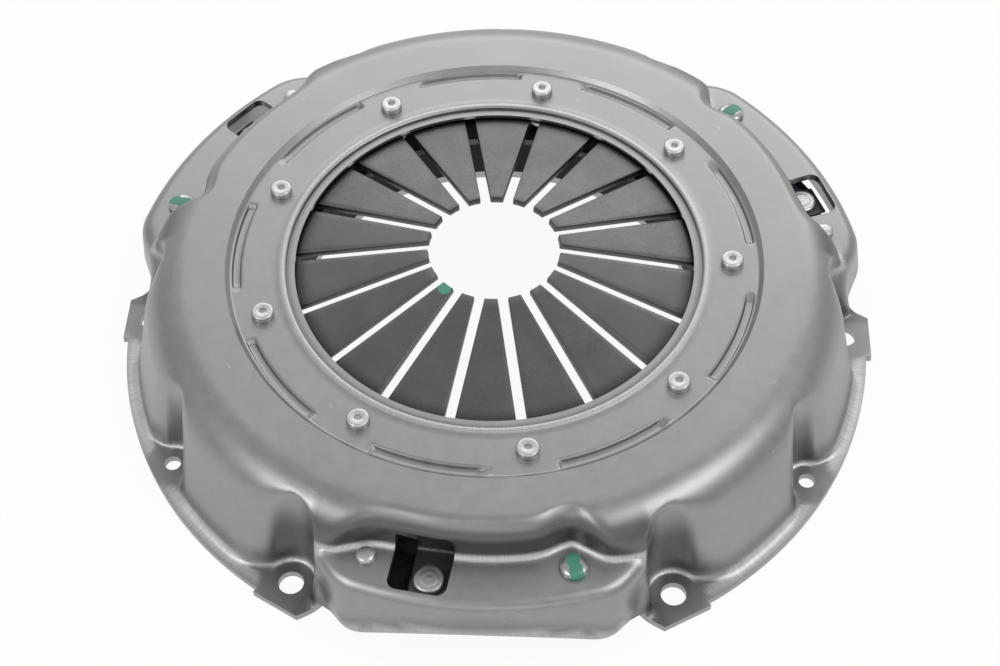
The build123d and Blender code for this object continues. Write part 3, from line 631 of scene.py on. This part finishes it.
BLADE_COLUMNS = 8
finger_rows = [*np.linspace(TIP_R, ROOT_IN, 16), 82.7, 83.1, 83.8, 85.0, 88.1, 89.1, 89.9, 90.3, ROOT_OUT]
ring_rows = [ROOT_OUT, 93.0, 96.0, 100.0, 104.0, 107.5, DISC_R]
root_deg = math.degrees(math.asin((ROOT_HALF - ROOT_CORNER) / ROOT_OUT))
points = []
for radius in finger_rows:
    gap = root_deg if radius == ROOT_OUT else math.degrees(math.asin(slit_half_width(radius) / radius))
    points += [(radius, gap + (PITCH_DEG - 2 * gap) * k / BLADE_COLUMNS) for k in range(BLADE_COLUMNS + 1)]
faces = grid_faces(len(finger_rows), BLADE_COLUMNS + 1)
spread = [0, root_deg / 2]
spread += [root_deg + (PITCH_DEG - 2 * root_deg) * k / BLADE_COLUMNS for k in range(BLADE_COLUMNS + 1)]
spread += [PITCH_DEG - root_deg / 2, PITCH_DEG]
faces += grid_faces(len(ring_rows), len(spread), len(points))
points += [(radius, a) for radius in ring_rows for a in spread]
coned = [(*at_polar(r, a), PIVOT_Z - (r - PIVOT_R) * math.tan(CONE)) for r, a in points]
finger = mesh_object("finger", coned, faces)


def ring_of(name, part, count, start_deg, finish, weld=0.0):
    """Geometry Nodes ring: the part repeated about the clutch axis, as one plain mesh."""
    group = bpy.data.node_groups.new(name, "GeometryNodeTree")
    ask = group.interface
    ask.new_socket("Part", in_out="INPUT", socket_type="NodeSocketObject")
    ask.new_socket("Count", in_out="INPUT", socket_type="NodeSocketInt")
    ask.new_socket("Start Angle", in_out="INPUT", socket_type="NodeSocketFloat")
    ask.new_socket("Weld Distance", in_out="INPUT", socket_type="NodeSocketFloat")
    ask.new_socket("Finish", in_out="INPUT", socket_type="NodeSocketMaterial")
    ask.new_socket("Geometry", in_out="OUTPUT", socket_type="NodeSocketGeometry")
    given = add(group, "NodeGroupInput")
    source = add(group, "GeometryNodeObjectInfo", {"transform_space": "RELATIVE"},
                 {"Object": given.outputs["Part"]})
    marks = add(group, "GeometryNodePoints", None, {"Count": given.outputs["Count"]})
    number = add(group, "GeometryNodeInputIndex")
    pitch = add(group, "ShaderNodeMath", {"operation": "DIVIDE"},
                {0: 2 * math.pi, 1: given.outputs["Count"]})
    angle = add(group, "ShaderNodeMath", {"operation": "MULTIPLY_ADD"},
                {0: number.outputs[0], 1: pitch.outputs[0], 2: given.outputs["Start Angle"]})
    spin = add(group, "ShaderNodeCombineXYZ", None, {"Z": angle.outputs[0]})
    copies = add(group, "GeometryNodeInstanceOnPoints", None,
                 {"Points": marks.outputs[0], "Instance": source.outputs["Geometry"],
                  "Rotation": spin.outputs[0]})
    real = add(group, "GeometryNodeRealizeInstances", None, {"Geometry": copies.outputs[0]})
    welded = add(group, "GeometryNodeMergeByDistance", None,
                 {"Geometry": real.outputs[0], "Distance": given.outputs["Weld Distance"]})
    coated = add(group, "GeometryNodeSetMaterial", None,
                 {"Geometry": welded.outputs[0], "Material": given.outputs["Finish"]})
    add(group, "NodeGroupOutput", None, {"Geometry": coated.outputs[0]})
    carrier = bpy.data.objects.new(name, bpy.data.meshes.new(name))
    bpy.context.scene.collection.objects.link(carrier)
    ringed = carrier.modifiers.new("ring", "NODES")
    ringed.node_group = group
    sizes = {"Part": part, "Count": count, "Start Angle": math.radians(start_deg),
             "Weld Distance": weld, "Finish": finish}
    for item in ask.items_tree:
        if item.in_out == "INPUT":
            ringed[item.identifier] = sizes[item.name]
    finished(carrier)
    bpy.data.objects.remove(part)
    return carrier


# Hardened spring steel, tempered and oiled: a dark neutral grey, clouded, with fine grain, and painted shade
# towards the fingers' roots, where the cover's rim shades them. One finger's tip has a dab of green paint.
GREEN_PAINT = "#43856f"
spring_steel, tree = material("tempered spring steel")
mm = in_millimetres(tree)
cloud = add(tree, "ShaderNodeTexNoise", None, {"Vector": mm, "Scale": 1 / 14, "Detail": 4.0})
grain = add(tree, "ShaderNodeTexNoise", None, {"Vector": mm, "Scale": 1 / 1.1, "Detail": 3.0})
tone = add(tree, "ShaderNodeMix", {"data_type": "RGBA"},
           {0: cloud.outputs[0], "A": srgb("#5c5c5b"), "B": srgb("#727171")})
flat_at = add(tree, "ShaderNodeVectorMath", {"operation": "MULTIPLY"}, {0: mm, 1: (1, 1, 0)})
from_axis = add(tree, "ShaderNodeVectorMath", {"operation": "LENGTH"}, {0: flat_at.outputs[0]})
# Painted shade of the cover's rim: darker towards the fingers' roots.
rim_shade = add(tree, "ShaderNodeMapRange", {"interpolation_type": "SMOOTHSTEP"},
           {0: from_axis.outputs["Value"], 1: 67.0, 2: 76.5, 3: 1.0, 4: 0.16})
tone = add(tree, "ShaderNodeVectorMath", {"operation": "SCALE"},
           {0: tone.outputs["Result"], "Scale": rim_shade.outputs[0]})
paint_dab = (-16.9, -20.0, 51.0)
dab = add(tree, "ShaderNodeVectorMath", {"operation": "DISTANCE"}, {0: mm, 1: paint_dab})
ragged = add(tree, "ShaderNodeMath", {"operation": "MULTIPLY_ADD"},
             {0: grain.outputs[0], 1: 2.2, 2: dab.outputs["Value"]})
painted = add(tree, "ShaderNodeMapRange", None, {0: ragged.outputs[0], 1: 3.5, 2: 3.9, 3: 1.0, 4: 0.0})
tone = add(tree, "ShaderNodeMix", {"data_type": "RGBA"},
           {0: painted.outputs[0], "A": tone.outputs[0], "B": srgb(GREEN_PAINT)})
bare = add(tree, "ShaderNodeMath", {"operation": "SUBTRACT"}, {0: 1.0, 1: painted.outputs[0]})
rough = add(tree, "ShaderNodeMapRange", None, {0: grain.outputs[0], 1: 0.3, 2: 0.7, 3: 0.34, 4: 0.46})
bump = add(tree, "ShaderNodeBump", None, {"Strength": 0.15, "Distance": 0.0001, "Height": grain.outputs[0]})
skin = add(tree, "ShaderNodeBsdfPrincipled", None,
           {"Base Color": tone.outputs["Result"], "Metallic": bare.outputs[0], "Roughness": rough.outputs[0],
            "Normal": bump.outputs[0]})
add(tree, "ShaderNodeOutputMaterial", None, {"Surface": skin.outputs[0]})

WELD = 0.01 * MM
diaphragm = ring_of("diaphragm", finger, FINGERS, 0, spring_steel, WELD)
body = diaphragm.modifiers.new("thickness", "SOLIDIFY")
body.thickness, body.offset, body.use_even_offset = GAUGE * MM, 0.0, True
edge = diaphragm.modifiers.new("broken edges", "BEVEL")
edge.width, edge.segments = BROKEN_EDGE * MM, 2
edge.limit_method, edge.angle_limit = "ANGLE", math.radians(50)
diaphragm.data.shade_smooth()
diaphragm.data.set_sharp_from_angle(angle=math.radians(40))
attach(diaphragm, "cover_assembly")
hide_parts("diaphragm_spring")
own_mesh(diaphragm)


# Pivot rivets
# Nine cold-headed rivets tie the diaphragm and both wire rings to the cover. Each head is flat with a
# small chamfer and the dimple of the heading punch.
def lathe(name, profile, steps=40, at=(0, 0)):
    """Turned part from (radius, z) points that run from the axis to the axis."""
    inner = profile[1:-1]
    points = [(at[0], at[1], profile[0][1])]
    for r, z in inner:
        points += [(at[0] + x, at[1] + y, z) for x, y in ring_outline(r, steps)]
    points.append((at[0], at[1], profile[-1][1]))
    last = len(points) - 1
    faces = [(0, 1 + (k + 1) % steps, 1 + k) for k in range(steps)]
    for j in range(len(inner) - 1):
        a, b = 1 + j * steps, 1 + (j + 1) * steps
        faces += [(a + k, a + (k + 1) % steps, b + (k + 1) % steps, b + k) for k in range(steps)]
    a = 1 + (len(inner) - 1) * steps
    faces += [(a + k, a + (k + 1) % steps, last) for k in range(steps)]
    made = mesh_object(name, points, faces)
    layer = made.data.uv_layers.new(name="face")
    for loop in made.data.loops:
        p = points[loop.vertex_index]
        layer.data[loop.index].uv = (p[0] - at[0], p[1] - at[1])
    made.data.set_sharp_from_angle(angle=math.radians(38))
    return made


# Cold-headed rivet steel, bright and slightly oiled; the head shows faint turned rings round its dimple.
rivet_steel, tree = material("cold-headed rivet steel")
face = add(tree, "ShaderNodeUVMap", {"uv_map": "face"})
mm = in_millimetres(tree)
mottle = add(tree, "ShaderNodeTexNoise", None, {"Vector": mm, "Scale": 1 / 1.8, "Detail": 4.0})
away = add(tree, "ShaderNodeVectorMath", {"operation": "LENGTH"}, {0: face.outputs[0]})
rings = add(tree, "ShaderNodeMath", {"operation": "MULTIPLY"}, {0: away.outputs["Value"], 1: 7.0})
rings = add(tree, "ShaderNodeMath", {"operation": "SINE"}, {0: rings.outputs[0]})
tone = add(tree, "ShaderNodeMix", {"data_type": "RGBA"},
           {0: mottle.outputs[0], "A": srgb("#b2b2b1"), "B": srgb("#d2d2d1")})
relief = add(tree, "ShaderNodeMath", {"operation": "MULTIPLY_ADD"},
             {0: rings.outputs[0], 1: 0.12, 2: mottle.outputs[0]})
bump = add(tree, "ShaderNodeBump", None, {"Strength": 0.3, "Distance": 0.0001, "Height": relief.outputs[0]})
rough = add(tree, "ShaderNodeMapRange", None, {0: mottle.outputs[0], 1: 0.3, 2: 0.7, 3: 0.36, 4: 0.46})
skin = add(tree, "ShaderNodeBsdfPrincipled", None,
           {"Base Color": tone.outputs["Result"], "Metallic": 1.0, "Roughness": rough.outputs[0],
            "Normal": bump.outputs[0]})
add(tree, "ShaderNodeOutputMaterial", None, {"Surface": skin.outputs[0]})

pivot_profile = [(0, 31.13), (5.0, 31.13), (5.6, 31.3), (6.0, 31.8), (6.0, 33.3), (5.8, 33.52), (2.5, 33.52),
                 (2.5, 45.42), (3.9, 45.42), (4.05, 45.5), (4.1, 45.7), (4.1, 47.3), (3.95, 47.72),
                 (3.55, 47.98), (3.2, 48.02), (1.55, 48.02), (1.35, 47.93), (1.2, 47.4), (1.0, 46.9),
                 (0, 46.75)]
pivot_rivet = lathe("pivot_rivet", pivot_profile, 40, (RIVET_R, 0))
pivot_rivets = ring_of("pivot_rivets", pivot_rivet, 9, 0, rivet_steel)
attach(pivot_rivets, "cover_assembly")
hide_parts(*[f"pivot_rivet_{k + 1}" for k in range(9)])

# Strap rivets
# Three large rivets through each shelf hold the upper ends of the drive straps. After setting, the
# assembler marks each head with a stripe of green paint.
marked_steel, tree = material("rivet steel with green paint mark")
face = add(tree, "ShaderNodeUVMap", {"uv_map": "face"})
mm = in_millimetres(tree)
mottle = add(tree, "ShaderNodeTexNoise", None, {"Vector": mm, "Scale": 1 / 1.6, "Detail": 4.0})
tone = add(tree, "ShaderNodeMix", {"data_type": "RGBA"},
           {0: mottle.outputs[0], "A": srgb("#8f8f8e"), "B": srgb("#cfcfce")})
face_xy = add(tree, "ShaderNodeSeparateXYZ", None, {0: face.outputs[0]})
stripe = add(tree, "ShaderNodeMath", {"operation": "ABSOLUTE"}, {0: face_xy.outputs[1]})
ragged = add(tree, "ShaderNodeMath", {"operation": "MULTIPLY_ADD"},
             {0: mottle.outputs[0], 1: 2.4, 2: stripe.outputs[0]})
painted = add(tree, "ShaderNodeMapRange", None, {0: ragged.outputs[0], 1: 3.3, 2: 3.6, 3: 1.0, 4: 0.0})
tone = add(tree, "ShaderNodeMix", {"data_type": "RGBA"},
           {0: painted.outputs[0], "A": tone.outputs["Result"], "B": srgb(GREEN_PAINT)})
bare = add(tree, "ShaderNodeMath", {"operation": "SUBTRACT"}, {0: 1.0, 1: painted.outputs[0]})
bump = add(tree, "ShaderNodeBump", None, {"Strength": 0.3, "Distance": 0.0001, "Height": mottle.outputs[0]})
skin = add(tree, "ShaderNodeBsdfPrincipled", None,
           {"Base Color": tone.outputs["Result"], "Metallic": bare.outputs[0], "Roughness": 0.34,
            "Normal": bump.outputs[0]})
add(tree, "ShaderNodeOutputMaterial", None, {"Surface": skin.outputs[0]})

STRAP_R, STRAP_DEG = 127.7, 14.5
strap_profile = [(0, 23.6), (4.0, 23.6), (4.7, 23.9), (5.0, 24.6), (5.0, 26.08), (3.25, 26.08),
                 (3.25, 31.52), (5.05, 31.52), (5.2, 31.7), (5.2, 32.3), (5.0, 32.95), (4.4, 33.6),
                 (3.4, 34.0), (2.2, 34.18), (1.0, 34.21), (0, 34.21)]
strap_rivet = lathe("strap_rivet", strap_profile, 44, (STRAP_R, 0))
strap_rivets = ring_of("strap_rivets", strap_rivet, 3, POCKETS[0] + STRAP_DEG, marked_steel)
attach(strap_rivets, "cover_assembly")
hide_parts("strap_rivet_1", "strap_rivet_2", "strap_rivet_3")

# Small rivets
# A small domed rivet sits in each shelf beside its window.
SMALL_DEG = -17.4
small_profile = [(0, 26.6), (2.6, 26.6), (3.2, 26.9), (3.4, 27.4), (3.4, 28.58), (2.2, 28.58), (2.2, 31.52),
                 (3.4, 31.52), (3.5, 31.65), (3.5, 32.4), (3.3, 33.1), (2.8, 33.6), (2.0, 33.8),
                 (0.9, 33.82), (0, 33.82)]
small_rivet = lathe("small_rivet", small_profile, 36, (STRAP_R, 0))
small_rivets = ring_of("small_rivets", small_rivet, 3, POCKETS[0] + SMALL_DEG, rivet_steel)
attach(small_rivets, "cover_assembly")
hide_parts("small_rivet_1", "small_rivet_2", "small_rivet_3")

# Drive straps
# Three packs of three blued spring-steel leaves hang from the strap rivets down to the plate's lugs.
# Each layer is a sheet that gets its thickness last.
blued_steel, tree = material("blued strap steel")
mm = in_millimetres(tree)
cloud = add(tree, "ShaderNodeTexNoise", None, {"Vector": mm, "Scale": 1 / 5, "Detail": 4.0})
tone = add(tree, "ShaderNodeMix", {"data_type": "RGBA"},
           {0: cloud.outputs[0], "A": srgb("#46464c"), "B": srgb("#6c6c74")})
skin = add(tree, "ShaderNodeBsdfPrincipled", None,
           {"Base Color": tone.outputs["Result"], "Metallic": 1.0, "Roughness": 0.36})
add(tree, "ShaderNodeOutputMaterial", None, {"Surface": skin.outputs[0]})

LUG_DEG = -7.6
LEAF, LEAF_PITCH, LEAF_TOP, LEAF_DROP, LEAF_HALF, EYE_R, BEND_ROOM = 0.8, 0.82, 28.58, 5.32, 8.0, 3.33, 9.5
half_span = STRAP_R * math.sin(math.radians((STRAP_DEG - LUG_DEG) / 2))
mid_r = STRAP_R * math.cos(math.radians((STRAP_DEG - LUG_DEG) / 2))
mid_deg = (STRAP_DEG + LUG_DEG) / 2


def flat_leaf():
    """Points and faces of a flat leaf along x: an eye round each rivet hole, and the band between them."""
    points, faces, steps = [], [], 16
    for side in (-1, 1):
        base = len(points)
        for share in (0.0, 0.5, 1.0):
            for c, s in ring_outline(1.0, steps):
                reach = LEAF_HALF if c * side >= -1e-9 else LEAF_HALF / max(abs(c), abs(s))
                away = EYE_R * (1 - share) + reach * share
                points.append((side * half_span + away * c, away * s))
        faces += [(base + j * steps + k, base + (j + 1) * steps + k, base + (j + 1) * steps + (k + 1) % steps,
                   base + j * steps + (k + 1) % steps) for j in range(2) for k in range(steps)]
    lane = LEAF_HALF * math.tan(math.pi / 8)
    lanes = [-LEAF_HALF, -lane, 0.0, lane, LEAF_HALF]
    stations = np.linspace(-half_span + LEAF_HALF, half_span - LEAF_HALF, 15)
    faces += grid_faces(len(stations), len(lanes), len(points))
    points += [(x, y) for x in stations for y in lanes]
    return points, faces


leaf_points, leaf_faces = flat_leaf()
bend_x = half_span - BEND_ROOM
middle_x, middle_y = at_polar(mid_r, mid_deg)
for layer in range(3):
    high = LEAF_TOP - layer * LEAF_PITCH - LEAF / 2
    sprung = [turned_point(x, y, high - LEAF_DROP * float(fall(x, -bend_x, bend_x)), mid_deg + 90)
              for x, y in leaf_points]
    leaf = mesh_object("leaf", [(middle_x + x, middle_y + y, z) for x, y, z in sprung], leaf_faces)
    leaves = ring_of(f"strap_leaves_{layer + 1}", leaf, 3, POCKETS[0], blued_steel, WELD)
    gauge = leaves.modifiers.new("thickness", "SOLIDIFY")
    gauge.thickness, gauge.offset = LEAF * MM, 0.0
    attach(leaves, "cover_assembly")
    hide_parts(*[f"strap_{pocket + 1}_leaf_{layer + 1}" for pocket in range(3)])
    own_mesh(leaves)


# Pivot rings
# Two rings of drawn spring wire on which the diaphragm rocks, one over it and one under it.
def dress(nodes, finish):
    """Gives CAD nodes their finish."""
    for name in nodes:
        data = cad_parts[name].data
        data.materials.clear()
        data.materials.append(finish)


wire_steel, tree = material("drawn wire steel")
mm = in_millimetres(tree)
cloud = add(tree, "ShaderNodeTexNoise", None, {"Vector": mm, "Scale": 1 / 3, "Detail": 3.0})
tone = add(tree, "ShaderNodeMix", {"data_type": "RGBA"},
           {0: cloud.outputs[0], "A": srgb("#77767a"), "B": srgb("#9c9b9e")})
skin = add(tree, "ShaderNodeBsdfPrincipled", None,
           {"Base Color": tone.outputs["Result"], "Metallic": 1.0, "Roughness": 0.3})
add(tree, "ShaderNodeOutputMaterial", None, {"Surface": skin.outputs[0]})
dress(("upper_pivot_ring", "lower_pivot_ring"), wire_steel)

# Pressure plate
# Grey iron casting: as-cast dark skin outside, its friction face, bore and rim land machined bright.
cast_iron, tree = material("grey cast iron, partly machined")
mm = in_millimetres(tree)
at = add(tree, "ShaderNodeSeparateXYZ", None, {0: mm})
flat = add(tree, "ShaderNodeVectorMath", {"operation": "MULTIPLY"}, {0: mm, 1: (1, 1, 0)})
radius = add(tree, "ShaderNodeVectorMath", {"operation": "LENGTH"}, {0: flat.outputs[0]})
sand = add(tree, "ShaderNodeTexNoise", None,
           {"Vector": mm, "Scale": 1 / 1.4, "Detail": 5.0, "Roughness": 0.65})
cloud = add(tree, "ShaderNodeTexNoise", None, {"Vector": mm, "Scale": 1 / 18, "Detail": 3.0})
rings = add(tree, "ShaderNodeMath", {"operation": "MULTIPLY"}, {0: radius.outputs["Value"], 1: 5.0})
rings = add(tree, "ShaderNodeMath", {"operation": "SINE"}, {0: rings.outputs[0]})
cast = add(tree, "ShaderNodeMix", {"data_type": "RGBA"},
           {0: sand.outputs[0], "A": srgb("#1d1c1c"), "B": srgb("#3b3a39")})
cut = add(tree, "ShaderNodeMix", {"data_type": "RGBA"},
          {0: cloud.outputs[0], "A": srgb("#9a9a99"), "B": srgb("#b6b6b5")})
low_land = add(tree, "ShaderNodeMapRange", None, {0: at.outputs[2], 1: 8.5, 2: 8.8, 3: 1.0, 4: 0.0})
top_land = add(tree, "ShaderNodeMapRange", None, {0: at.outputs[2], 1: 24.9, 2: 25.2, 3: 0.0, 4: 1.0})
inner = add(tree, "ShaderNodeMapRange", None,
            {0: radius.outputs["Value"], 1: 119.0, 2: 119.5, 3: 1.0, 4: 0.0})
low_land = add(tree, "ShaderNodeMath", {"operation": "MULTIPLY"},
               {0: low_land.outputs[0], 1: inner.outputs[0]})
machined = add(tree, "ShaderNodeMath", {"operation": "MAXIMUM"},
               {0: low_land.outputs[0], 1: top_land.outputs[0]})
tone = add(tree, "ShaderNodeMix", {"data_type": "RGBA"},
           {0: machined.outputs[0], "A": cast.outputs["Result"], "B": cut.outputs["Result"]})
rough = add(tree, "ShaderNodeMapRange", None, {0: machined.outputs[0], 1: 0.0, 2: 1.0, 3: 0.62, 4: 0.33})
depth = add(tree, "ShaderNodeMapRange", None, {0: machined.outputs[0], 1: 0.0, 2: 1.0, 3: 1.0, 4: 0.12})
relief = add(tree, "ShaderNodeMath", {"operation": "MULTIPLY"}, {0: sand.outputs[0], 1: depth.outputs[0]})
relief = add(tree, "ShaderNodeMath", {"operation": "MULTIPLY_ADD"},
             {0: rings.outputs[0], 1: 0.04, 2: relief.outputs[0]})
bump = add(tree, "ShaderNodeBump", None, {"Strength": 0.6, "Distance": 0.0004, "Height": relief.outputs[0]})
skin = add(tree, "ShaderNodeBsdfPrincipled", None,
           {"Base Color": tone.outputs["Result"], "Metallic": 0.9, "Roughness": rough.outputs[0],
            "Normal": bump.outputs[0]})
add(tree, "ShaderNodeOutputMaterial", None, {"Surface": skin.outputs[0]})
dress(("pressure_plate",), cast_iron)

# Lug rivets and retraction clips
# Each lug carries the lower end of a strap pack under a sprung clip that pulls the diaphragm's edge down
# on the plate, all held by one rivet whose head shows through the cover's window.
clip_steel, tree = material("phosphated clip steel")
mm = in_millimetres(tree)
cloud = add(tree, "ShaderNodeTexNoise", None, {"Vector": mm, "Scale": 1 / 3.5, "Detail": 5.0})
tone = add(tree, "ShaderNodeMix", {"data_type": "RGBA"},
           {0: cloud.outputs[0], "A": srgb("#3c3b3b"), "B": srgb("#6a6968")})
skin = add(tree, "ShaderNodeBsdfPrincipled", None,
           {"Base Color": tone.outputs["Result"], "Metallic": 0.8, "Roughness": 0.42})
add(tree, "ShaderNodeOutputMaterial", None, {"Surface": skin.outputs[0]})
# The strip's middle line in (radius, height): foot, bend, leg, bend, and a tongue that bows over the
# diaphragm's edge, so that the edge has room when the diaphragm lies flat.
CLIP, CLIP_HALF, TONGUE_HALF, CLIP_EDGE = 1.0, 6.5, 5.3, 0.28
FOOT_END_R, FOOT_Z, LEG_R, LEG_TOP, FOOT_BEND, TONGUE_BEND = 135.2, 23.78, 114.3, 35.82, 2.0, 1.6
turns = np.linspace(0, math.pi / 2, 7)
middle = [(FOOT_END_R, FOOT_Z), (131.0, FOOT_Z), (122.0, FOOT_Z)]
middle += [(LEG_R + FOOT_BEND * (1 - math.sin(a)), FOOT_Z + FOOT_BEND * (1 - math.cos(a))) for a in turns]
middle += [(LEG_R - TONGUE_BEND * (1 - math.cos(a)), LEG_TOP + TONGUE_BEND * math.sin(a))
           for a in np.linspace(0, math.pi / 2 + 0.03, 7)]
middle += [(110.0, 37.5), (108.0, 37.56), (106.2, 37.62)]
loops = []
for k, (r, z) in enumerate(middle):
    before, beyond = middle[max(k - 1, 0)], middle[min(k + 1, len(middle) - 1)]
    out = Vector((before[1] - beyond[1], beyond[0] - before[0])).normalized() * CLIP / 2
    half = TONGUE_HALF + (CLIP_HALF - TONGUE_HALF) * float(step(r, 106.0, 112.0))
    loops.append([(r + out.x, -half, z + out.y), (r + out.x, half, z + out.y),
                  (r - out.x, half, z - out.y), (r - out.x, -half, z - out.y)])
clip = tool("clip", [lofted(loops)])
rivet_hole = tool("rivet_hole", [prism(ring_outline(EYE_R, 32), 20, 28, (STRAP_R, 0))])
rounding = clip.modifiers.new("bent edges", "BEVEL")
rounding.width, rounding.segments = CLIP_EDGE * MM, 3
rounding.limit_method, rounding.angle_limit = "ANGLE", math.radians(60)
cut_with(clip, rivet_hole)
finished(clip)
bpy.data.objects.remove(rivet_hole)
clip.data.shade_smooth()
clip.data.set_sharp_from_angle(angle=math.radians(50))
clips = ring_of("retraction_clips", clip, 3, POCKETS[0] + LUG_DEG, clip_steel)
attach(clips, "plate_assembly")
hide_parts("retraction_clip_1", "retraction_clip_2", "retraction_clip_3")

lug_profile = [(0, 6.48), (4.0, 6.48), (4.7, 6.8), (5.0, 7.5), (5.0, 8.98), (3.25, 8.98), (3.25, 24.3),
               (5.5, 24.3), (5.65, 24.5), (5.65, 25.6), (5.45, 26.2), (4.9, 26.62), (4.2, 26.72), (3.6, 26.6),
               (3.2, 26.72), (2.5, 26.84), (1.6, 26.74), (0.8, 26.82), (0, 26.84)]
lug_rivet = lathe("lug_rivet", lug_profile, 44, (STRAP_R, 0))
lug_rivets = ring_of("lug_rivets", lug_rivet, 3, POCKETS[0] + LUG_DEG, rivet_steel)
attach(lug_rivets, "plate_assembly")
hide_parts("lug_rivet_1", "lug_rivet_2", "lug_rivet_3")
